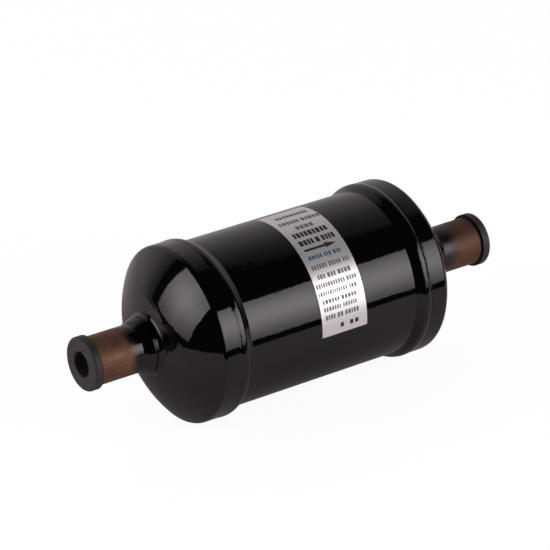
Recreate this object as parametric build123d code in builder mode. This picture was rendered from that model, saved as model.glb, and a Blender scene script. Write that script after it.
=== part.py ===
from build123d import *
import os
from math import atan, degrees, pi, sqrt

# Liquid-line filter drier: a welded steel shell with copper solder sockets, dust plugs and a solid core.
# Millimetres. The drier lies along X: refrigerant enters at -X and leaves at +X. +Z is up, and the
# origin is the middle of the shell, on its axis.

# Shell tube
shell_length = 101.0
shell_diameter = 66.0
shell_wall = 1.6

# Drawn end caps
cap_wall = 1.9
lap_gap = 0.1  # radial gap between the cap's skirt and the tube
lap_length = 8.5
crown_radius = 52.0
knuckle_radius = 2.2
neck_wall = 1.7
neck_height = 3.5
neck_root_fillet = 2.2
neck_lip_fillet = 0.8

# Seam weld between the skirt's edge and the tube
weld_leg = 3.8
weld_overlap = 3.0
weld_crown = 0.12  # bead over the skirt, at the skirt's edge

# Copper connectors
stub_diameter = 19.0
socket_diameter = 16.0
socket_depth = 12.0
mouth_diameter = 16.9  # counterbored mouth that takes the plug's spigot
mouth_depth = 4.5
mouth_edge = 0.4
port_diameter = 13.0
stub_length = 21.9  # copper that shows beyond the neck
stub_inset = 1.8  # how far the copper reaches into the shell
braze_gap = 0.05
braze_leg = 2.8
braze_height = 1.2

# Dust plugs
plug_flange_diameter = 21.2
plug_flange_thickness = 3.5
plug_spigot_length = 4.2
plug_fit = 0.05  # radial clearance in the mouth
plug_seat_gap = 0.1
plug_recess_diameter = 10.0
plug_floor = 1.4
plug_rim_round = 0.9
plug_lead_in = 0.5
plug_recess_edge = 0.3

# Rating label
label_width = 21.0
label_offset = 4.2  # middle of the label, from the middle of the shell
label_start = 72.0  # degrees about X, from +Y towards +Z
label_height = 63.4  # along the curve
label_thickness = 0.1

# Outlet plate, screen and pad
plate_thickness = 0.8
plate_inset = 0.4  # rim radius inside the tube's outer radius
plate_clearance = 0.1
ripple_depth = 1.8
ripple_outer_radius = 24.0  # middle of the ripple's outer flank
ripple_inner_radius = 13.0  # middle of its inner flank
ripple_flank_width = 1.8
plate_hole_diameter = 4.5
plate_hole_spacing = 9.0  # between neighbouring holes on a ring
screen_thickness = 0.5
screen_rim_width = 2.4
screen_wire = 1.6
screen_pitch = 8.2
pad_thickness = 7.0
pad_edge = 1.0
bore_clearance = 0.2  # radial gap between the discs and the tube's bore

# Core
core_gap = 2.4  # flow gap between core and tube
core_chamfer = 1.5
core_rib_width = 4.0
cavity_diameter = 17.0
cavity_draft = 1.0
cavity_floor = 18.0
felt_thickness = 2.0
felt_width = 10.0
cushion_thickness = 1.5

# Spring and spring plate
spring_wire = 2.0
spring_small_diameter = 25.0
spring_large_diameter = 42.0
spring_turns = 2.5
spring_flats = 8  # sides that the round wire's section is drawn with
spring_space = 17.5  # from the spring plate to the seat in the inlet cap
spring_plate_diameter = 54.0
spring_plate_thickness = 1.0
spring_plate_lip = 2.2
spring_plate_edge = 0.8
spring_plate_hole = 5.0
spring_plate_holes = 6

# Derived radii
shell_radius = shell_diameter / 2
bore_radius = shell_radius - shell_wall
skirt_bore = shell_radius + lap_gap
skirt_radius = skirt_bore + cap_wall
stub_radius = stub_diameter / 2
neck_bore = stub_radius + braze_gap
neck_radius = neck_bore + neck_wall
disc_radius = bore_radius - bore_clearance
plate_radius = shell_radius - plate_inset
inner_crown_radius = crown_radius - cap_wall


def crown_x(radius, at_radius):
    """X of a crown of the given radius where it is at_radius from the axis."""
    return crown_centre + sqrt(radius**2 - at_radius**2)


# Derived stations along X, for the outlet half
tube_end = shell_length / 2
skirt_edge = tube_end - lap_length
crown_centre = (
    tube_end + plate_thickness + plate_clearance - sqrt(inner_crown_radius**2 - plate_radius**2)
)
neck_root = crown_x(crown_radius, neck_radius)
neck_end = neck_root + neck_height
stub_end = neck_end + stub_length
stub_start = crown_x(inner_crown_radius, neck_bore) - stub_inset
socket_mouth = stub_end - mouth_depth
socket_stop = socket_mouth - socket_depth

# The core stack, from the outlet plate back to the spring
screen_face = tube_end - ripple_depth
pad_face = screen_face - screen_thickness
felt_face = pad_face - pad_thickness
core_outlet_face = felt_face - felt_thickness
wire_radius = spring_wire / 2
spring_seat = -(
    crown_centre + sqrt((inner_crown_radius - wire_radius) ** 2 - (spring_small_diameter / 2) ** 2)
)
spring_plate_face = spring_seat - wire_radius + spring_space
cushion_face = spring_plate_face + spring_plate_thickness
core_inlet_face = cushion_face + cushion_thickness
core_radius = bore_radius - core_gap


# Shell tube
with BuildPart() as shell_tube:
    with BuildSketch(Plane.YZ.offset(-tube_end)):
        Circle(shell_radius)
        Circle(bore_radius, mode=Mode.SUBTRACT)
    extrude(amount=shell_length)

# Outlet end cap: skirt, knuckle, spherical crown and drawn neck, turned about X
with BuildPart() as outlet_end_cap:
    with BuildSketch() as cap_section:
        with BuildLine():
            corner = (crown_x(crown_radius, skirt_radius), skirt_radius)
            root = (neck_root, neck_radius)
            outer_mid_radius = (skirt_radius + neck_radius) / 2
            outer_mid = (crown_x(crown_radius, outer_mid_radius), outer_mid_radius)
            inner_root = (crown_x(inner_crown_radius, neck_bore), neck_bore)
            inner_mid_radius = (skirt_bore + neck_bore) / 2
            inner_mid = (crown_x(inner_crown_radius, inner_mid_radius), inner_mid_radius)
            inner_corner = (crown_x(inner_crown_radius, skirt_bore), skirt_bore)
            Line((skirt_edge, skirt_radius), corner)
            ThreePointArc(corner, outer_mid, root)
            Line(root, (neck_end, neck_radius))
            Line((neck_end, neck_radius), (neck_end, neck_bore))
            Line((neck_end, neck_bore), inner_root)
            ThreePointArc(inner_root, inner_mid, inner_corner)
            Line(inner_corner, (skirt_edge, skirt_bore))
            Line((skirt_edge, skirt_bore), (skirt_edge, skirt_radius))
        make_face()
        fillet(cap_section.vertices().sort_by_distance(corner)[0], knuckle_radius)
        fillet(cap_section.vertices().sort_by_distance(root)[0], neck_root_fillet)
        fillet(cap_section.vertices().sort_by_distance((neck_end, neck_radius))[0], neck_lip_fillet)
    revolve(axis=Axis.X)

with BuildPart() as inlet_end_cap:
    mirror(outlet_end_cap.part, about=Plane.YZ)

# Seam weld: the bead climbs from the tube, rounds over the skirt's edge and fades out along the skirt
with BuildPart() as outlet_seam_weld:
    with BuildSketch():
        with BuildLine():
            foot = (skirt_edge - weld_leg, shell_radius)
            flank = (skirt_edge - 0.55 * weld_leg, shell_radius + 0.58 * (skirt_radius - shell_radius))
            crest = (skirt_edge, skirt_radius + weld_crown)
            toe = (skirt_edge + weld_overlap, skirt_radius)
            Spline(foot, flank, crest, toe, tangents=[(1, 0.4), (1, -0.1)])
            Polyline(toe, (skirt_edge, skirt_radius), (skirt_edge, shell_radius), foot)
        make_face()
    revolve(axis=Axis.X)

with BuildPart() as inlet_seam_weld:
    mirror(outlet_seam_weld.part, about=Plane.YZ)

# Copper connector: solder socket with a stop, and a counterbored mouth
with BuildPart() as outlet_connector:
    with BuildSketch(Plane.YZ.offset(stub_start)):
        Circle(stub_radius)
    extrude(amount=stub_end - stub_start)
    with BuildSketch(Plane.YZ.offset(stub_start)):
        Circle(port_diameter / 2)
    extrude(amount=stub_end - stub_start, mode=Mode.SUBTRACT)
    with BuildSketch(Plane.YZ.offset(socket_stop)):
        Circle(socket_diameter / 2)
    extrude(amount=stub_end - socket_stop, mode=Mode.SUBTRACT)
    with BuildSketch(Plane.YZ.offset(socket_mouth)):
        Circle(mouth_diameter / 2)
    extrude(amount=mouth_depth, mode=Mode.SUBTRACT)
    chamfer(outlet_connector.edges().group_by(Axis.X)[-1].sort_by(SortBy.RADIUS)[-1], length=mouth_edge)

with BuildPart() as inlet_connector:
    mirror(outlet_connector.part, about=Plane.YZ)

# Braze fillet: hollow cone of braze metal from the neck's lip down to the copper
with BuildPart() as outlet_braze_fillet:
    with BuildSketch():
        with BuildLine():
            top = (neck_end, stub_radius + braze_height)
            tip = (neck_end + braze_leg, stub_radius)
            Spline(top, tip, tangents=[(0.3, -1), (1, -0.05)])
            Polyline(tip, (neck_end, stub_radius), top)
        make_face()
    revolve(axis=Axis.X)

with BuildPart() as inlet_braze_fillet:
    mirror(outlet_braze_fillet.part, about=Plane.YZ)

# Dust plug: round-edged flange, short spigot and a blind recess from the outside
with BuildPart() as outlet_dust_plug:
    plug_back = stub_end + plug_seat_gap
    plug_face = plug_back + plug_flange_thickness
    spigot_tip = plug_back - plug_spigot_length
    with BuildSketch(Plane.YZ.offset(plug_back)):
        Circle(plug_flange_diameter / 2)
    extrude(amount=plug_flange_thickness)
    fillet(outlet_dust_plug.edges().group_by(Axis.X)[-1], radius=plug_rim_round)
    with BuildSketch(Plane.YZ.offset(spigot_tip)):
        Circle(mouth_diameter / 2 - plug_fit)
    extrude(amount=plug_back - spigot_tip)
    chamfer(outlet_dust_plug.edges().group_by(Axis.X)[0], length=plug_lead_in)
    with BuildSketch(Plane.YZ.offset(spigot_tip + plug_floor)):
        Circle(plug_recess_diameter / 2)
    extrude(amount=plug_face - spigot_tip - plug_floor, mode=Mode.SUBTRACT)
    chamfer(outlet_dust_plug.edges().group_by(Axis.X)[-1].sort_by(SortBy.RADIUS)[0], length=plug_recess_edge)

with BuildPart() as inlet_dust_plug:
    mirror(outlet_dust_plug.part, about=Plane.YZ)

# Rating label, bent round the tube
with BuildPart() as rating_label:
    label_plane = Plane.XY.rotated((label_start, 0, 0))
    with BuildSketch(label_plane):
        with Locations((label_offset, shell_radius + label_thickness / 2)):
            Rectangle(label_width, label_thickness)
    revolve(axis=Axis.X, revolution_arc=degrees(label_height / shell_radius))

# Perforated outlet plate: its rim sits on the tube's end, and one pressed ripple stiffens it
with BuildPart() as perforated_plate:
    half_flank = ripple_flank_width / 2
    with BuildSketch():
        with BuildLine():
            upper = [
                (tube_end, plate_radius),
                (tube_end, ripple_outer_radius + half_flank),
                (screen_face, ripple_outer_radius - half_flank),
                (screen_face, ripple_inner_radius + half_flank),
                (tube_end, ripple_inner_radius - half_flank),
                (tube_end, 0),
            ]
            lower = [(x + plate_thickness, radius) for x, radius in reversed(upper)]
            Polyline(*upper, *lower, close=True)
        make_face()
    revolve(axis=Axis.X)
    groove_radius = (ripple_outer_radius + ripple_inner_radius) / 2
    centre_hole_radius = (ripple_inner_radius - half_flank) / 2
    with BuildSketch(Plane.YZ.offset(screen_face)):
        for hole_circle in (groove_radius, centre_hole_radius):
            hole_count = int(2 * pi * hole_circle / plate_hole_spacing)
            with PolarLocations(hole_circle, hole_count):
                Circle(plate_hole_diameter / 2)
    extrude(amount=ripple_depth + plate_thickness, mode=Mode.SUBTRACT)

# Wire screen: rim and crossed wires
with BuildPart() as wire_screen:
    with BuildSketch(Plane.YZ.offset(pad_face)):
        Circle(disc_radius)
        with BuildSketch(mode=Mode.PRIVATE) as windows:
            Circle(disc_radius - screen_rim_width)
            count = int(disc_radius / screen_pitch)
            for step in range(-count, count + 1):
                with Locations((step * screen_pitch, 0)):
                    Rectangle(screen_wire, 2 * disc_radius, mode=Mode.SUBTRACT)
                with Locations((0, step * screen_pitch)):
                    Rectangle(2 * disc_radius, screen_wire, mode=Mode.SUBTRACT)
        add(windows.sketch, mode=Mode.SUBTRACT)
    extrude(amount=screen_thickness)

# Polyester filter pad
with BuildPart() as filter_pad:
    with BuildSketch(Plane.YZ.offset(felt_face)):
        Circle(disc_radius)
    extrude(amount=pad_thickness)
    chamfer(filter_pad.edges().filter_by(GeomType.CIRCLE), length=pad_edge)

# Felt ring that seals the flow gap at the outlet end
with BuildPart() as outlet_felt_ring:
    with BuildSketch(Plane.YZ.offset(core_outlet_face)):
        Circle(disc_radius)
        Circle(disc_radius - felt_width, mode=Mode.SUBTRACT)
    extrude(amount=felt_thickness)

# Moulded core: chamfered cylinder, four locating ribs and a tapered blind cavity from the outlet
with BuildPart() as desiccant_core:
    core_length = core_outlet_face - core_inlet_face
    with BuildSketch(Plane.YZ.offset(core_inlet_face)):
        Circle(core_radius)
        with PolarLocations(core_radius, 4, start_angle=45):
            Rectangle(2 * (core_gap - bore_clearance), core_rib_width)
    extrude(amount=core_length)
    chamfer(desiccant_core.edges().group_by(Axis.X)[0], length=core_chamfer)
    with BuildSketch(Plane.YZ.offset(core_outlet_face)):
        Circle(cavity_diameter / 2)
    extrude(amount=-(core_length - cavity_floor), taper=cavity_draft, mode=Mode.SUBTRACT)

# Cushion between the core and the spring plate
with BuildPart() as inlet_felt_ring:
    with BuildSketch(Plane.YZ.offset(cushion_face)):
        Circle(spring_plate_diameter / 2 - spring_plate_lip)
        Circle(spring_plate_diameter / 2 - spring_plate_lip - felt_width, mode=Mode.SUBTRACT)
    extrude(amount=cushion_thickness)

# Spring plate: a shallow perforated dish that locates the spring's large end
with BuildPart() as spring_plate:
    with BuildSketch(Plane.YZ.offset(spring_plate_face - spring_plate_lip)):
        Circle(spring_plate_diameter / 2)
    extrude(amount=spring_plate_lip + spring_plate_thickness)
    chamfer(spring_plate.edges().group_by(Axis.X)[-1], length=spring_plate_edge)
    with BuildSketch(Plane.YZ.offset(spring_plate_face - spring_plate_lip)):
        Circle(spring_plate_diameter / 2 - spring_plate_thickness)
    extrude(amount=spring_plate_lip, mode=Mode.SUBTRACT)
    with BuildSketch(Plane.YZ.offset(spring_plate_face)):
        Circle(spring_plate_hole)
        with PolarLocations(spring_large_diameter / 2 - spring_wire - spring_plate_hole, spring_plate_holes):
            Circle(spring_plate_hole / 2)
    extrude(amount=spring_plate_thickness, mode=Mode.SUBTRACT)

# Conical spring: a closed coil at each end and the active turns between them
with BuildPart() as core_spring:
    large_centre = spring_plate_face - wire_radius
    spring_rise = large_centre - spring_seat
    cone_angle = degrees(atan((spring_large_diameter - spring_small_diameter) / 2 / spring_rise))
    with BuildLine() as coil:
        Helix(
            pitch=spring_rise / spring_turns,
            height=spring_rise,
            radius=spring_small_diameter / 2,
            center=(spring_seat, 0, 0),
            direction=(1, 0, 0),
            cone_angle=cone_angle,
        )
    with BuildSketch(Plane(origin=coil.line @ 0, z_dir=coil.line % 0)):
        RegularPolygon(wire_radius, spring_flats)
    sweep(path=coil.line, is_frenet=True)
    with BuildSketch():
        with Locations(
            (spring_seat, spring_small_diameter / 2),
            (large_centre, spring_large_diameter / 2),
        ):
            RegularPolygon(wire_radius, spring_flats, rotation=180 / spring_flats)
    revolve(axis=Axis.X)

parts = {
    "shell_tube": shell_tube,
    "inlet_end_cap": inlet_end_cap,
    "outlet_end_cap": outlet_end_cap,
    "inlet_seam_weld": inlet_seam_weld,
    "outlet_seam_weld": outlet_seam_weld,
    "inlet_connector": inlet_connector,
    "outlet_connector": outlet_connector,
    "inlet_braze_fillet": inlet_braze_fillet,
    "outlet_braze_fillet": outlet_braze_fillet,
    "inlet_dust_plug": inlet_dust_plug,
    "outlet_dust_plug": outlet_dust_plug,
    "rating_label": rating_label,
    "perforated_plate": perforated_plate,
    "wire_screen": wire_screen,
    "filter_pad": filter_pad,
    "outlet_felt_ring": outlet_felt_ring,
    "desiccant_core": desiccant_core,
    "inlet_felt_ring": inlet_felt_ring,
    "spring_plate": spring_plate,
    "core_spring": core_spring,
}
os.makedirs("parts", exist_ok=True)
for name, builder in parts.items():
    builder.part.label = name
    export_step(builder.part, f"parts/{name}.step")
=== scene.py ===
import math
import random

import bmesh
import bpy
from bpy.props import FloatProperty, FloatVectorProperty, IntProperty, PointerProperty
from mathutils import Matrix, Vector, noise


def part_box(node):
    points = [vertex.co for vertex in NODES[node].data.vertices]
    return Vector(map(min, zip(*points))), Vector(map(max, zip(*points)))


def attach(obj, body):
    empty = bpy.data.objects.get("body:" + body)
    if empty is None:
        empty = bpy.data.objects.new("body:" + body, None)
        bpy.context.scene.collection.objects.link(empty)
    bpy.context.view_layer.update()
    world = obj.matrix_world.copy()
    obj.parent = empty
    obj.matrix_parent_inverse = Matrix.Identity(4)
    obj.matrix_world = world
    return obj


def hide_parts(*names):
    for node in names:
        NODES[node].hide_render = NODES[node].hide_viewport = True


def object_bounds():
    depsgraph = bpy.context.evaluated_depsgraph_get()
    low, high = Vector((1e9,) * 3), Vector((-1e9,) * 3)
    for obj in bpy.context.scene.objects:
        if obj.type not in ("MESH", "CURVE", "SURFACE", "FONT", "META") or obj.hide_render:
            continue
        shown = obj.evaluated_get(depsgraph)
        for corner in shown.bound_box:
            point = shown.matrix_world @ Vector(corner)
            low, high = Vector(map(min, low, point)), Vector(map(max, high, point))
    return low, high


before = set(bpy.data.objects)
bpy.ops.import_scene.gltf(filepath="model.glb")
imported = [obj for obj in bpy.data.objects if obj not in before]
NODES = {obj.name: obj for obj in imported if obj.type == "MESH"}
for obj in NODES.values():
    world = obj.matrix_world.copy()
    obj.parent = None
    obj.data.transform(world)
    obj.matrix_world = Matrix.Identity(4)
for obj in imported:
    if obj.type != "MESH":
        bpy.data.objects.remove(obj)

bl_info = {
    "name": "Filter drier finish",
    "version": (1, 0, 0),
    "blender": (4, 5, 0),
    "location": "View3D > Sidebar > Drier",
    "description": "Enamel, copper, rubber, foil label and studio for a liquid-line filter drier",
    "category": "Object",
}

# Sizes that come from the frame, in metres. The drier lies along X, and its outlet end is at +X.
CAD_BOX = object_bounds()
BODY = "drier"
STUB_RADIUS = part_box("outlet_connector")[1].z
NECK_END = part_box("outlet_end_cap")[1].x
WELD_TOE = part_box("outlet_seam_weld")[1].x - 0.0008
LABEL_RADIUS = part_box("rating_label")[1].z
LABEL_START = math.radians(72)  # the label's upper edge, from +Y towards +Z
MM = 0.001
ENDS = {"inlet": -1, "outlet": 1}


# Node materials ------------------------------------------------------------------------------

class Finish:
    """A node material under construction. Nodes are added by kind, and inputs take values or sockets."""

    def __init__(self, name, **shader):
        self.material = bpy.data.materials.new(name)
        self.material.use_nodes = True
        self.tree = self.material.node_tree
        self.shader = self.tree.nodes["Principled BSDF"]
        self.output = self.tree.nodes["Material Output"]
        self.set(self.shader, shader)

    def set(self, node, inputs):
        """Links sockets and writes values. Keys are input names, with _ for a space, or numbers."""
        for key, value in inputs.items():
            name = key.replace("_", " ") if isinstance(key, str) else key
            socket = node.inputs[name]
            if isinstance(value, bpy.types.NodeSocket):
                self.tree.links.new(value, socket)
            elif isinstance(value, (int, float)):
                socket.default_value = value
            else:
                size = len(socket.default_value)
                socket.default_value = (*value, 1.0)[:size]

    def add(self, kind, inputs=None, **settings):
        node = self.tree.nodes.new("ShaderNode" + kind)
        for key, value in settings.items():
            setattr(node, key, value)
        self.set(node, inputs or {})
        return node

    def place(self, scale=(1, 1, 1), shift=(0, 0, 0)):
        """Object coordinates, in metres, stretched by scale and then shifted."""
        point = self.add("TexCoord").outputs["Object"]
        return self.add("Mapping", {"Vector": point, "Location": shift, "Scale": scale}).outputs["Vector"]

    def noise(self, scale, detail=2.0, stretch=(1, 1, 1), rough=0.5):
        """Soft noise with this many waves to a metre."""
        inputs = {"Vector": self.place(stretch), "Scale": scale, "Detail": detail, "Roughness": rough}
        return self.add("TexNoise", inputs).outputs["Fac"]

    def spread(self, value, low, high, to_low=0.0, to_high=1.0, smooth=False):
        """Maps low..high of a value to to_low..to_high."""
        node = self.add(
            "MapRange",
            {"Value": value, "From Min": low, "From Max": high, "To Min": to_low, "To Max": to_high},
            interpolation_type="SMOOTHSTEP" if smooth else "LINEAR",
        )
        return node.outputs["Result"]

    def maths(self, operation, a, b=0.0):
        return self.add("Math", {0: a, 1: b}, operation=operation).outputs[0]

    def blend(self, share, a, b):
        """Mixes two colours: a at share 0 and b at share 1."""
        return self.add("Mix", {0: share, 6: a, 7: b}, data_type="RGBA").outputs[2]

    def axis(self, name):
        """One of the object coordinates, in metres."""
        return self.add("SeparateXYZ", {"Vector": self.place()}).outputs[name]

    def end(self, shader):
        """Uses another shader in place of the Principled BSDF."""
        self.tree.nodes.remove(self.shader)
        self.set(self.output, {"Surface": shader.outputs[0]})
        return self.material

    def bump(self, height, distance, onto=None):
        """A normal that rises by distance, in metres, as height goes from 0 to 1."""
        inputs = {"Height": height, "Distance": distance}
        if onto is not None:
            inputs["Normal"] = onto
        return self.add("Bump", inputs).outputs["Normal"]


def dress(nodes, material):
    """Gives CAD nodes a finish in place of their plain slots."""
    for name in nodes:
        slots = NODES[name].material_slots
        if not slots:
            NODES[name].data.materials.append(material)
        for slot in slots:
            slot.material = material


def piece_from(bm, name, material, body=BODY, smooth=True):
    """Turns a bmesh into a finished piece that rides on a body."""
    bmesh.ops.recalc_face_normals(bm, faces=bm.faces)
    mesh = bpy.data.meshes.new(name)
    bm.to_mesh(mesh)
    bm.free()
    mesh.polygons.foreach_set("use_smooth", [smooth] * len(mesh.polygons))
    mesh.materials.append(material)
    piece = bpy.data.objects.new(name, mesh)
    bpy.context.scene.collection.objects.link(piece)
    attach(piece, body)
    return piece


# Settings ------------------------------------------------------------------------------------

class ShellSettings(bpy.types.PropertyGroup):
    enamel: FloatVectorProperty(
        name="Enamel", description="Colour of the black enamel", subtype="COLOR",
        default=(0.0022, 0.0019, 0.002), min=0.0, max=1.0,
    )
    gloss: FloatProperty(
        name="Roughness", description="Roughness of the enamel", default=0.05, min=0.0, max=1.0
    )
    flow: FloatProperty(
        name="Paint flow", description="Height of the slow waves in the enamel", default=0.00003,
        unit="LENGTH", precision=6,
    )
    peel: FloatProperty(
        name="Orange peel", description="Height of the fine grain in the enamel", default=0.000004,
        unit="LENGTH", precision=6,
    )
    ripple: FloatProperty(
        name="Weld ripple", description="Height of the ripples along the seam welds", default=0.00006,
        unit="LENGTH", precision=6,
    )
    groove: FloatProperty(
        name="Weld groove", description="Depth of the groove along the outlet weld's toe", default=0.0002,
        unit="LENGTH", precision=6,
    )


class CopperSettings(bpy.types.PropertyGroup):
    bright: FloatVectorProperty(
        name="Copper", description="Colour of rubbed copper", subtype="COLOR",
        default=(0.30, 0.157, 0.097), min=0.0, max=1.0,
    )
    dull: FloatVectorProperty(
        name="Tarnish", description="Colour of heat-dulled copper", subtype="COLOR",
        default=(0.15, 0.073, 0.044), min=0.0, max=1.0,
    )
    metal: FloatProperty(
        name="Bare metal", description="How much the metal shows through its tarnish", default=0.6,
        min=0.0, max=1.0, subtype="FACTOR",
    )
    painted: FloatProperty(
        name="Painted length", description="How far the black enamel covers each stub from the neck",
        default=0.0046, unit="LENGTH",
    )
    overspray: FloatProperty(
        name="Overspray", description="Length over which the enamel fades out on the inlet's copper",
        default=0.004, unit="LENGTH",
    )
    outlet_overspray: FloatProperty(
        name="Outlet overspray", description="Length over which the enamel fades out on the outlet's copper",
        default=0.0095, unit="LENGTH",
    )
    # The outlet's copper is drawn darker than the inlet's by this share.
    outlet_darkening: FloatProperty(
        name="Outlet darkening", description="How much darker the outlet's copper is than the inlet's",
        default=0.35, min=0.0, max=1.0, subtype="FACTOR",
    )
    collar: FloatProperty(
        name="Collar length", description="How far the braze collar reaches along the stub",
        default=0.0034, unit="LENGTH",
    )
    collar_wobble: FloatProperty(
        name="Collar wobble", description="How uneven the braze collar is", default=0.00016,
        unit="LENGTH", precision=6,
    )


class PlugSettings(bpy.types.PropertyGroup):
    rubber: FloatVectorProperty(
        name="Rubber", description="Colour of the dust plugs", subtype="COLOR",
        default=(0.030, 0.027, 0.028), min=0.0, max=1.0,
    )


class LabelSettings(bpy.types.PropertyGroup):
    foil: FloatVectorProperty(
        name="Foil", description="Colour of the label", subtype="COLOR",
        default=(0.96, 0.955, 0.96), min=0.0, max=1.0,
    )
    bold_ink: FloatVectorProperty(
        name="Bold ink", description="Colour of the bold blocks and the arrow", subtype="COLOR",
        default=(0.02, 0.02, 0.024), min=0.0, max=1.0,
    )
    fine_ink: FloatVectorProperty(
        name="Fine ink", description="Colour of the fine blocks", subtype="COLOR",
        default=(0.2, 0.2, 0.215), min=0.0, max=1.0,
    )
    blue_ink: FloatVectorProperty(
        name="Blue ink", description="Colour of the heading bar and one row", subtype="COLOR",
        default=(0.04, 0.16, 0.27), min=0.0, max=1.0,
    )
    ink_height: FloatProperty(
        name="Ink height", description="How far the print stands off the foil", default=0.00002,
        unit="LENGTH", precision=6,
    )
    seed: IntProperty(name="Seed", description="Seed of the random print blocks", default=7)


class StageSettings(bpy.types.PropertyGroup):
    box_strength: FloatProperty(
        name="Softbox", description="Brightness of the middle of a softbox", default=4.1
    )
    box_distance: FloatProperty(
        name="Softbox distance", description="From the drier to each softbox", default=0.9, unit="LENGTH"
    )
    box_size: FloatProperty(
        name="Softbox size", description="Side of each softbox", default=0.775, unit="LENGTH"
    )
    sweep_strength: FloatProperty(
        name="Sweep", description="Brightness of the paper behind, in reflections", default=0.52
    )
    table_glow: FloatProperty(
        name="Table", description="Light that comes up through the white table", default=0.14
    )


# Shell ---------------------------------------------------------------------------------------

# Half the width of the groove along a weld's toe, and how far the groove wanders, in metres
GROOVE_HALF, GROOVE_WANDER = 0.0009, 0.0002


def black_enamel(name, settings, ripple=0.0, groove=0.0):
    """Gloss enamel with slow waves, fine grain and, on welds, ripples and a groove along the weld's toe."""
    finish = Finish(name, Base_Color=settings.enamel, IOR=1.5)
    cloud = finish.noise(60.0, 3.0)
    rough = finish.spread(cloud, 0.3, 0.7, settings.gloss * 0.6, settings.gloss * 1.5)
    normal = finish.bump(finish.noise(230.0, 1.0), settings.flow)
    normal = finish.bump(finish.noise(1100.0, 1.0), settings.peel, onto=normal)
    if ripple:
        normal = finish.bump(finish.noise(420.0, 2.0, stretch=(1.6, 1, 1)), ripple, onto=normal)
    if groove:
        wander = finish.spread(finish.noise(130.0, 2.0), 0.3, 0.7, -GROOVE_WANDER, GROOVE_WANDER)
        along = finish.maths("ADD", finish.maths("ABSOLUTE", finish.axis("X")), wander)
        off = finish.maths("ABSOLUTE", finish.maths("SUBTRACT", along, WELD_TOE))
        normal = finish.bump(finish.spread(off, 0.0, GROOVE_HALF, smooth=True), groove, onto=normal)
    finish.set(finish.shader, {"Roughness": rough, "Normal": normal})
    return finish.material


class DRIER_OT_dress_shell(bpy.types.Operator):
    """Black gloss enamel on the tube, the caps and the seam welds"""

    bl_idname = "drier.dress_shell"
    bl_label = "Dress shell"

    def execute(self, context):
        settings = context.scene.drier_shell
        dress(("shell_tube", "inlet_end_cap", "outlet_end_cap"), black_enamel("gloss_enamel", settings))
        for end, share in (("inlet", 0.25), ("outlet", 1.0)):
            weld = black_enamel(end + "_weld_enamel", settings, settings.ripple, settings.groove * share)
            dress((end + "_seam_weld",), weld)
        return {"FINISHED"}


# Copper --------------------------------------------------------------------------------------

class DRIER_OT_dress_copper(bpy.types.Operator):
    """Tarnished copper stubs, with black overspray that fades along each stub"""

    bl_idname = "drier.dress_copper"
    bl_label = "Dress copper"

    # Roughness of the outlet's thin, dry spray
    DRY_SPRAY = 0.3
    # The overspray reaches further along the stubs on this side, by this share of the height above the axis
    OVERSPRAY_TILT = (0, -0.05, 0.14)

    def execute(self, context):
        scene = context.scene
        dress(("inlet_connector", "outlet_connector"), self.copper(scene.drier_copper, scene.drier_shell))
        return {"FINISHED"}

    def copper(self, settings, shell):
        finish = Finish("tarnished_copper", IOR=1.5)
        patches = finish.noise(110.0, 4.0, rough=0.6)
        drawn = finish.noise(1500.0, 3.0, stretch=(0.04, 1, 1))
        tone = finish.maths("ADD", patches, finish.maths("MULTIPLY", drawn, 0.5))
        outlet = finish.spread(finish.axis("X"), -0.001, 0.001)
        # The outlet's copper is drawn darker than the inlet's, by a set share.
        tone = finish.maths("SUBTRACT", tone, finish.maths("MULTIPLY", outlet, settings.outlet_darkening))
        metal = finish.blend(finish.spread(tone, 0.5, 1.0), settings.dull, settings.bright)
        paint = self.paint(finish, settings, outlet)
        bare = finish.maths("SUBTRACT", 1.0, paint)
        rubbed = finish.spread(finish.noise(300.0, 3.0), 0.3, 0.7, 0.54, 0.66)
        sprayed = finish.spread(outlet, 0.0, 1.0, shell.gloss * 1.6, self.DRY_SPRAY)
        rough = finish.add("Mix", {0: paint, 2: rubbed, 3: sprayed}, data_type="FLOAT").outputs[0]
        finish.set(
            finish.shader,
            {
                "Base Color": finish.blend(paint, metal, shell.enamel),
                "Metallic": finish.maths("MULTIPLY", bare, settings.metal),
                "Roughness": rough,
                "Normal": finish.bump(drawn, 0.00001),
            },
        )
        return finish.material

    def paint(self, finish, settings, outlet):
        """Where enamel covers a stub: 1 at the neck, 0 on bare copper and inside the socket."""
        place = finish.place()
        along = finish.maths("ABSOLUTE", finish.axis("X"))
        drift = finish.spread(finish.noise(160.0, 4.0, rough=0.65), 0.2, 0.8, -0.003, 0.003)
        lean = finish.add("VectorMath", {0: place, 1: self.OVERSPRAY_TILT}, operation="DOT_PRODUCT")
        edge = finish.maths("SUBTRACT", finish.maths("ADD", along, drift), lean.outputs["Value"])
        start = NECK_END + settings.painted
        length = finish.spread(outlet, 0.0, 1.0, settings.overspray, settings.outlet_overspray)
        fade = finish.spread(edge, start, finish.maths("ADD", length, start), 1.0, 0.0, smooth=True)
        across = finish.add("VectorMath", {0: place, 1: (0, 1, 1)}, operation="MULTIPLY").outputs["Vector"]
        radius = finish.add("VectorMath", {0: across}, operation="LENGTH").outputs["Value"]
        outside = finish.spread(radius, STUB_RADIUS - 0.0008, STUB_RADIUS - 0.0004)
        return finish.maths("MULTIPLY", fade, outside)


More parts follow.
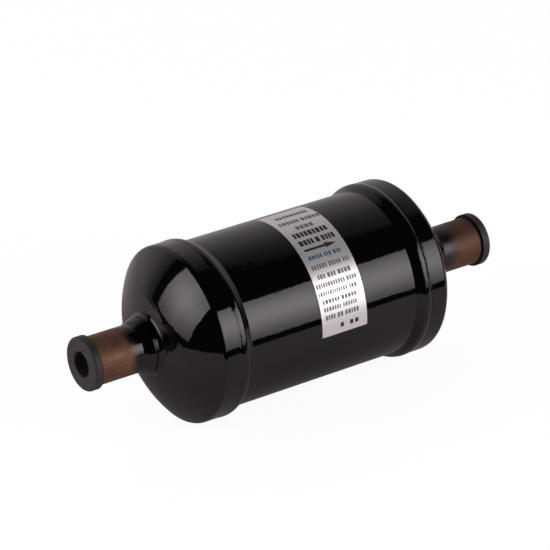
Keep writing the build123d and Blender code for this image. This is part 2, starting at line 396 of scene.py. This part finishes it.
class DRIER_OT_build_collars(bpy.types.Operator):
    """Uneven braze collars under the enamel, from the lip of each neck down to the stub"""

    bl_idname = "drier.build_collars"
    bl_label = "Build collars"

    # The collar's section: share of its length past the neck's end, and height over the stub in mm
    SECTION = ((-0.40, 1.70), (-0.30, 1.78), (-0.15, 1.76), (0.02, 1.58), (0.18, 1.34), (0.34, 1.12),
               (0.50, 0.92), (0.64, 0.72), (0.76, 0.50), (0.86, 0.28), (0.94, 0.11), (1.0, -0.06))
    TURNS = 144

    def execute(self, context):
        scene = context.scene
        enamel = black_enamel("collar_enamel", scene.drier_shell, scene.drier_shell.ripple * 0.5)
        for end, side in ENDS.items():
            self.collar(end, side, scene.drier_copper, enamel)
        return {"FINISHED"}

    def collar(self, end, side, settings, material):
        bm = bmesh.new()
        section = [
            bm.verts.new((NECK_END + share * settings.collar, 0, STUB_RADIUS + rise * MM))
            for share, rise in self.SECTION
        ]
        edges = [bm.edges.new(pair) for pair in zip(section, section[1:])]
        bmesh.ops.spin(
            bm, geom=section + edges, cent=(0, 0, 0), axis=(1, 0, 0), angle=math.tau,
            steps=self.TURNS, use_merge=True, use_duplicate=False,
        )
        for vertex in bm.verts:
            self.wobble(vertex, side, settings)
            vertex.co.x *= side
        piece = piece_from(bm, end + "_braze_collar", material)
        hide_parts(end + "_braze_fillet")

    def wobble(self, vertex, side, settings):
        """Slow swells round the collar, none where it meets the neck."""
        share = (vertex.co.x - NECK_END) / settings.collar
        turn = math.atan2(vertex.co.z, vertex.co.y)
        swell = math.sin(3 * turn + 1.1 * side) + 0.6 * math.sin(7 * turn + 2.0) + 0.4 * math.sin(11 * turn)
        reach = min(max(share + 0.1, 0.0), 1.0)
        vertex.co.x += swell * reach * settings.collar_wobble * 1.5
        lift = noise.noise(vertex.co * 420.0 + Vector((side * 7.0, 0, 0))) * reach * (1.05 - share)
        radius = math.hypot(vertex.co.y, vertex.co.z)
        scale = 1 + lift * 2.2 * settings.collar_wobble / radius
        vertex.co.y *= scale
        vertex.co.z *= scale


# Plugs ---------------------------------------------------------------------------------------

class DRIER_OT_dress_plugs(bpy.types.Operator):
    """Moulded black rubber dust plugs"""

    bl_idname = "drier.dress_plugs"
    bl_label = "Dress plugs"

    def execute(self, context):
        settings = context.scene.drier_plugs
        finish = Finish("moulded_rubber", IOR=1.5)
        bloom = finish.noise(150.0, 4.0)
        colour = finish.blend(
            finish.spread(bloom, 0.35, 0.75), settings.rubber, [1.5 * c for c in settings.rubber]
        )
        grain = finish.noise(3500.0, 2.0)
        finish.set(
            finish.shader,
            {
                "Base Color": colour,
                "Roughness": finish.spread(bloom, 0.3, 0.7, 0.5, 0.62),
                "Normal": finish.bump(grain, 0.00002),
            },
        )
        dress(("inlet_dust_plug", "outlet_dust_plug"), finish.material)
        return {"FINISHED"}


# Label ---------------------------------------------------------------------------------------

class DRIER_OT_dress_label(bpy.types.Operator):
    """Foil label with a plain flow arrow and rows of plain blocks"""

    bl_idname = "drier.dress_label"
    bl_label = "Dress label"

    # Rows of blocks, in millimetres: distance down the curve from the label's upper edge, block height,
    # where the row starts and ends along X, and the number of blocks in each run.
    BOLD_ROWS = (
        (20.6, 2.6, -3.6, 11.9, (9,)),
        (24.9, 2.5, -3.6, 12.6, (4, 1, 4)),
    )
    FINE_ROWS = (
        (12.0, 2.2, -4.2, 14.3, (6, 5)),
        (16.6, 2.1, 0.4, 8.3, (4,)),
        (36.1, 1.9, -4.3, 12.7, (6, 5, 3)),
        (40.1, 1.8, -3.5, 11.6, (3, 3, 4)),
        (43.5, 1.7, -5.6, 13.0, (12, 4)),
        (46.6, 1.5, -5.6, 12.0, (13, 3)),
        (49.8, 1.5, -4.5, 11.0, (6, 5)),
        (52.7, 1.6, -4.7, 10.5, (7, 6)),
        (55.9, 1.8, -4.4, 11.0, (4, 2, 5)),
    )
    BLUE_ROWS = ((6.6, 2.3, -2.0, 12.4, (9,)), (32.0, 1.7, -3.5, 11.1, (5, 3, 3)))
    ARROW = (28.4, -3.4, 11.4)
    SQUARES = (2.2, 6.6, 9.0)
    # Clear space between blocks and between runs, in millimetres
    GAP, SPACE = 0.42, 1.15

    def execute(self, context):
        settings = context.scene.drier_label
        dress(("rating_label",), self.foil(settings))
        rng = random.Random(settings.seed)
        bold = bmesh.new()
        self.rows(bold, self.BOLD_ROWS, rng)
        self.arrow(bold)
        self.marks(bold)
        fine = bmesh.new()
        self.rows(fine, self.FINE_ROWS, rng)
        blue = bmesh.new()
        self.rows(blue, self.BLUE_ROWS, rng)
        inks = (settings.bold_ink, settings.fine_ink, settings.blue_ink)
        for name, bm, colour in zip(("bold", "fine", "blue"), (bold, fine, blue), inks):
            self.wrap(bm, settings.ink_height)
            bmesh.ops.solidify(bm, geom=bm.faces[:], thickness=settings.ink_height)
            piece_from(bm, f"label_{name}_print", self.ink(name, colour), smooth=False)
        return {"FINISHED"}

    def foil(self, settings):
        finish = Finish("satin_foil", Base_Color=settings.foil, Metallic=0.6, IOR=1.45)
        grain = finish.noise(1500.0, 2.0, stretch=(0.1, 1, 1))
        finish.set(
            finish.shader,
            {
                "Roughness": finish.spread(grain, 0.3, 0.7, 0.33, 0.4),
                "Normal": finish.bump(finish.noise(90.0, 1.0), 0.00003),
            },
        )
        return finish.material

    def ink(self, name, colour):
        finish = Finish(name + "_ink", IOR=1.45, Roughness=0.45)
        worn = finish.spread(finish.noise(1400.0, 3.0), 0.4, 0.75)
        faded = [c + 0.05 for c in colour]
        finish.set(finish.shader, {"Base Color": finish.blend(worn, colour, faded)})
        return finish.material

    def block(self, bm, low, high, along, height):
        """A flat block in label coordinates: x along the drier and y down the curve, in millimetres."""
        middle = Matrix.Translation(((low + high) / 2, along, 0))
        place = middle @ Matrix.Diagonal((high - low, height, 1, 1))
        bmesh.ops.create_grid(bm, x_segments=1, y_segments=2, size=0.5, matrix=place)

    def rows(self, bm, rows, rng):
        """Fills each row with blocks of uneven width."""
        for along, height, low, high, runs in rows:
            blocks = sum(runs)
            room = high - low - self.GAP * (blocks - len(runs)) - self.SPACE * (len(runs) - 1)
            widths = [rng.uniform(0.55, 1.0) for _ in range(blocks)]
            scale = room / sum(widths)
            x = low
            for run in runs:
                for _ in range(run):
                    width = widths.pop() * scale
                    self.block(bm, x, x + width, along, height)
                    x += width + self.GAP
                x += self.SPACE - self.GAP

    def arrow(self, bm):
        """Flow arrow towards the outlet."""
        along, low, high = self.ARROW
        self.block(bm, low, high - 5.0, along, 1.0)
        tip = [Vector((high, along, 0))]
        back = [Vector((high - 5.2, along + side * 1.2, 0)) for side in (-1, 1)]
        bm.faces.new([bm.verts.new(corner) for corner in tip + back])

    def marks(self, bm):
        """Plain squares at the foot of the label."""
        for low in self.SQUARES:
            self.block(bm, low, low + 1.5, 60.3, 1.7)

    def wrap(self, bm, lift):
        """Bends the flat print round the shell, from the label's upper edge."""
        radius = LABEL_RADIUS + lift
        for vertex in bm.verts:
            turn = LABEL_START + vertex.co.y * MM / radius
            vertex.co = Vector((vertex.co.x * MM, radius * math.cos(turn), radius * math.sin(turn)))


# Inner pieces --------------------------------------------------------------------------------

class DRIER_OT_dress_core(bpy.types.Operator):
    """Steel, felt and moulded desiccant inside the shell"""

    bl_idname = "drier.dress_core"
    bl_label = "Dress core"

    def execute(self, context):
        dress(("perforated_plate", "wire_screen", "spring_plate", "core_spring"), self.steel())
        dress(("filter_pad", "outlet_felt_ring", "inlet_felt_ring"), self.felt())
        dress(("desiccant_core",), self.desiccant())
        return {"FINISHED"}

    def steel(self):
        finish = Finish("plain_steel", Metallic=1.0)
        grain = finish.noise(1200.0, 3.0, stretch=(1, 0.15, 1))
        finish.set(
            finish.shader,
            {
                "Base Color": finish.blend(grain, (0.42, 0.42, 0.43), (0.6, 0.6, 0.61)),
                "Roughness": finish.spread(grain, 0.3, 0.7, 0.28, 0.45),
                "Normal": finish.bump(grain, 0.000008),
            },
        )
        return finish.material

    def felt(self):
        finish = Finish("pressed_felt", Roughness=0.95, Sheen_Weight=0.3)
        fibre = finish.noise(2600.0, 5.0, rough=0.7)
        finish.set(
            finish.shader,
            {
                "Base Color": finish.blend(fibre, (0.72, 0.70, 0.64), (0.92, 0.91, 0.88)),
                "Normal": finish.bump(fibre, 0.0002),
            },
        )
        return finish.material

    def desiccant(self):
        finish = Finish("moulded_desiccant", Roughness=0.9)
        beads = finish.add("TexVoronoi", {"Vector": finish.place(), "Scale": 900.0}).outputs["Distance"]
        stain = finish.noise(60.0, 4.0)
        finish.set(
            finish.shader,
            {
                "Base Color": finish.blend(stain, (0.70, 0.62, 0.50), (0.84, 0.80, 0.72)),
                "Normal": finish.bump(beads, 0.0003),
            },
        )
        return finish.material


# Stage ---------------------------------------------------------------------------------------

class DRIER_OT_set_stage(bpy.types.Operator):
    """White table, paper sweep, two softboxes and the camera"""

    bl_idname = "drier.set_stage"
    bl_label = "Set stage"

    # Bearing from +X towards +Y and height over the horizon, in degrees, then each softbox's width and
    # height as shares of its full size, and its roll in degrees
    BOXES = {
        "right_softbox": (-58.0, 15.6, 1.0, 0.93, 0.0),
        "left_softbox": (168.0, 16.5, 0.84, 0.92, 19.0),
    }
    # Brightness up a softbox, from its lower edge to its upper edge
    BOX_LEVELS = ((0.0, 0.3), (0.12, 0.42), (0.28, 0.64), (0.42, 0.88), (0.56, 1.0), (0.72, 0.88),
                  (1.0, 0.5))
    BOX_ACROSS = ((0.0, 0.62), (0.5, 1.0), (1.0, 0.62))
    # The paper behind: brightness at heights over the table, and round its bearings
    SWEEP_RADIUS = 1.0
    SWEEP_LEVELS = ((-0.036, 1.0), (0.0, 1.0), (0.7, 0.93), (1.2, 0.56), (1.5, 0.38), (1.75, 0.2))
    SWEEP_BEARINGS = ((-12.0, 0.0), (2.0, 0.8), (60.0, 0.97), (90.0, 1.1), (118.0, 1.1), (136.0, 0.3))
    # Edges of the white table, their softness, and how fast its sides widen towards the back
    TABLE_FRONT, TABLE_LEFT, TABLE_RIGHT = -0.166, -0.2, 0.4
    TABLE_SOFT, TABLE_WIDENING = 0.008, 1.2
    # The drier's shade on the table, and the table's brightness outwards from it, in shades
    SHADE_MIDDLE, SHADE_SIZE = 0.04, (0.11, 0.09)
    TABLE_LEVELS = ((0.0, 0.1), (0.35, 0.18), (0.61, 0.46), (0.81, 0.66), (1.19, 1.0), (1.45, 1.05),
                    (1.7, 1.2), (2.4, 1.25))

    CAMERA_PLACE = (-0.63503, -0.88916, 0.55568)
    CAMERA_FORWARD = (0.51734, 0.73003, -0.44656)
    CAMERA_LENS = 207.7

    def execute(self, context):
        settings = context.scene.drier_stage
        self.world(context)
        self.floor(settings)
        self.sweep(settings)
        for name, (bearing, height, wide, tall, roll) in self.BOXES.items():
            self.softbox(name, self.direction(bearing, height), (wide, tall, 1, 1), roll, settings)
        self.camera(context)
        context.scene.view_settings.view_transform = "Standard"
        return {"FINISHED"}

    def direction(self, bearing, height):
        a, b = math.radians(bearing), math.radians(height)
        return Vector((math.cos(a) * math.cos(b), math.sin(a) * math.cos(b), math.sin(b)))

    def world(self, context):
        """White behind the drier for the camera, nearly black for every other ray."""
        world = bpy.data.worlds.new("studio")
        world.use_nodes = True
        tree = world.node_tree
        background = tree.nodes["Background"]
        rays = tree.nodes.new("ShaderNodeLightPath")
        level = tree.nodes.new("ShaderNodeMapRange")
        level.inputs["To Min"].default_value = 0.015
        level.inputs["To Max"].default_value = 1.0
        tree.links.new(rays.outputs["Is Camera Ray"], level.inputs["Value"])
        tree.links.new(level.outputs["Result"], background.inputs["Strength"])
        background.inputs["Color"].default_value = (1, 1, 1, 1)
        context.scene.world = world

    def card(self, name, bm, material, seen=False):
        """Turns a bmesh into a piece of the studio."""
        mesh = bpy.data.meshes.new(name)
        bm.to_mesh(mesh)
        bm.free()
        mesh.materials.append(material)
        card = bpy.data.objects.new(name, mesh)
        card.visible_camera = seen
        bpy.context.scene.collection.objects.link(card)

    def levels(self, finish, value, stops):
        """A grey that follows stops of (value, brightness)."""
        low, high = stops[0][0], stops[-1][0]
        share = finish.spread(value, low, high)
        ramp = finish.add("ValToRGB", {"Fac": share})
        stack = ramp.color_ramp.elements
        stack[0].position, stack[1].position = 0.0, 1.0
        for at, _ in stops[1:-1]:
            stack.new((at - low) / (high - low))
        for stop, (_, level) in zip(stack, stops):
            stop.color = (level, level, level, 1)
        return ramp.outputs["Color"]

    def glow(self, finish, strength, *levels):
        """Emission whose strength is the product of the levels."""
        for level in levels:
            strength = finish.maths("MULTIPLY", level, strength)
        return finish.end(finish.add("Emission", {"Color": (1, 0.94, 0.95), "Strength": strength}))

    def table_mask(self, finish):
        """1 on the table and 0 beyond its front and sides."""
        across, deep = finish.axis("X"), finish.axis("Y")
        soft = self.TABLE_SOFT
        widening = finish.maths("MULTIPLY", finish.maths("MAXIMUM", deep, 0.0), self.TABLE_WIDENING)
        front = finish.spread(deep, self.TABLE_FRONT - soft, self.TABLE_FRONT)
        leftward = finish.maths("ADD", across, widening)
        left = finish.spread(leftward, self.TABLE_LEFT - soft, self.TABLE_LEFT)
        rightward = finish.maths("SUBTRACT", across, widening)
        right = finish.spread(rightward, self.TABLE_RIGHT, self.TABLE_RIGHT + soft, 1.0, 0.0)
        return finish.maths("MULTIPLY", finish.maths("MULTIPLY", front, left), right)

    def table_level(self, finish):
        """The table's brightness, lowest in the drier's shade."""
        width, depth = self.SHADE_SIZE
        point = finish.place((1 / width, 1 / depth, 0), (0, -self.SHADE_MIDDLE / depth, 0))
        reach = finish.add("VectorMath", {0: point}, operation="LENGTH").outputs["Value"]
        return self.levels(finish, reach, self.TABLE_LEVELS)

    def floor(self, settings):
        """White to the camera, with a faint shadow. Other rays meet a white table and pass its edges."""
        finish = Finish("white_floor")

        def add(a, b):
            return finish.add("AddShader", {0: a.outputs[0], 1: b.outputs[0]})

        def mix(share, a, b):
            return finish.add("MixShader", {0: share, 1: a.outputs[0], 2: b.outputs[0]})

        # The drier's shade is painted into the table's colour and glow, for every ray but the camera's.
        level = self.table_level(finish)
        white = finish.blend(level, (0.03, 0.03, 0.03), (0.86, 0.79, 0.81))
        glow = finish.maths("MULTIPLY", level, settings.table_glow)
        paper = finish.add("BsdfDiffuse", {"Color": white})
        lamp = finish.add("Emission", {"Color": (1, 0.9, 0.93), "Strength": glow})
        clear = finish.add("BsdfTransparent")
        real = mix(self.table_mask(finish), clear, add(paper, lamp))
        faint = finish.add("BsdfDiffuse", {"Color": (0.2, 0.2, 0.2)})
        seen = add(faint, finish.add("Emission", {"Color": (1, 1, 1), "Strength": 0.93}))
        top = mix(finish.add("LightPath").outputs["Is Camera Ray"], real, seen)
        both = mix(finish.add("NewGeometry").outputs["Backfacing"], top, clear)
        bm = bmesh.new()
        place = Matrix.Translation((0, 0, CAD_BOX[0].z))
        bmesh.ops.create_grid(bm, x_segments=1, y_segments=1, size=3.0, matrix=place)
        self.card("floor", bm, finish.end(both), seen=True)

    def sweep(self, settings):
        """Curved paper behind the drier, seen only in its reflections."""
        finish = Finish("paper_sweep")
        bearings = [(math.radians(at), level) for at, level in self.SWEEP_BEARINGS]
        start, end = bearings[0][0], bearings[-1][0]
        bearing = finish.maths("ARCTAN2", finish.axis("Y"), finish.axis("X"))
        round_it = self.levels(finish, bearing, bearings)
        up_it = self.levels(finish, finish.axis("Z"), self.SWEEP_LEVELS)
        material = self.glow(finish, settings.sweep_strength, round_it, up_it)
        bm = bmesh.new()
        foot = self.direction(self.SWEEP_BEARINGS[0][0], 0) * self.SWEEP_RADIUS
        heights = self.SWEEP_LEVELS[0][0], self.SWEEP_LEVELS[-1][0]
        ends = [bm.verts.new((foot.x, foot.y, z)) for z in heights]
        edge = bm.edges.new(ends)
        bmesh.ops.spin(
            bm, geom=[*ends, edge], cent=(0, 0, 0), axis=(0, 0, 1), angle=end - start, steps=48
        )
        self.card("sweep", bm, material)

    def softbox(self, name, way, shares, roll, settings):
        """A glowing square that faces the drier, seen only in its reflections."""
        finish = Finish(name)
        uv = finish.add("UVMap", uv_map="UVMap").outputs["UV"]
        spot = finish.add("SeparateXYZ", {"Vector": uv})
        up_it = self.levels(finish, spot.outputs["Y"], self.BOX_LEVELS)
        across = self.levels(finish, spot.outputs["X"], self.BOX_ACROSS)
        material = self.glow(finish, settings.box_strength, up_it, across)
        facing = (-way).to_track_quat("Z", "Y").to_matrix().to_4x4()
        facing = facing @ Matrix.Rotation(math.radians(roll), 4, "Z")
        place = Matrix.Translation(way * settings.box_distance) @ facing @ Matrix.Diagonal(shares)
        bm = bmesh.new()
        bm.loops.layers.uv.new("UVMap")
        bmesh.ops.create_grid(
            bm, x_segments=1, y_segments=1, size=settings.box_size / 2, matrix=place, calc_uvs=True
        )
        self.card(name, bm, material)

    def camera(self, context):
        data = bpy.data.cameras.new("camera")
        data.sensor_width = 36.0
        data.lens = self.CAMERA_LENS
        data.clip_start, data.clip_end = 0.05, 20.0
        camera = bpy.data.objects.new("camera", data)
        camera.location = self.CAMERA_PLACE
        camera.rotation_euler = Vector(self.CAMERA_FORWARD).to_track_quat("-Z", "Y").to_euler()
        context.scene.collection.objects.link(camera)
        context.scene.camera = camera


class DRIER_PT_finish(bpy.types.Panel):
    """Buttons and settings for the drier's finish"""

    bl_idname = "DRIER_PT_finish"
    bl_label = "Filter drier"
    bl_space_type = "VIEW_3D"
    bl_region_type = "UI"
    bl_category = "Drier"

    def draw(self, context):
        for operator, settings in STEPS:
            self.layout.operator(operator)
            if settings:
                group = getattr(context.scene, settings)
                for name in group.__annotations__:
                    self.layout.prop(group, name)


STEPS = (
    ("drier.dress_shell", "drier_shell"),
    ("drier.dress_copper", "drier_copper"),
    ("drier.build_collars", ""),
    ("drier.dress_plugs", "drier_plugs"),
    ("drier.dress_label", "drier_label"),
    ("drier.dress_core", ""),
    ("drier.set_stage", "drier_stage"),
)
SETTINGS = {
    "drier_shell": ShellSettings,
    "drier_copper": CopperSettings,
    "drier_plugs": PlugSettings,
    "drier_label": LabelSettings,
    "drier_stage": StageSettings,
}
CLASSES = (
    *SETTINGS.values(),
    DRIER_OT_dress_shell,
    DRIER_OT_dress_copper,
    DRIER_OT_build_collars,
    DRIER_OT_dress_plugs,
    DRIER_OT_dress_label,
    DRIER_OT_dress_core,
    DRIER_OT_set_stage,
    DRIER_PT_finish,
)


def register():
    for cls in CLASSES:
        bpy.utils.register_class(cls)
    for name, group in SETTINGS.items():
        setattr(bpy.types.Scene, name, PointerProperty(type=group))


def unregister():
    for name in SETTINGS:
        delattr(bpy.types.Scene, name)
    for cls in reversed(CLASSES):
        bpy.utils.unregister_class(cls)


def main():
    register()
    for operator, _ in STEPS:
        category, name = operator.split(".")
        getattr(getattr(bpy.ops, category), name)()


if __name__ == "__main__":
    main()
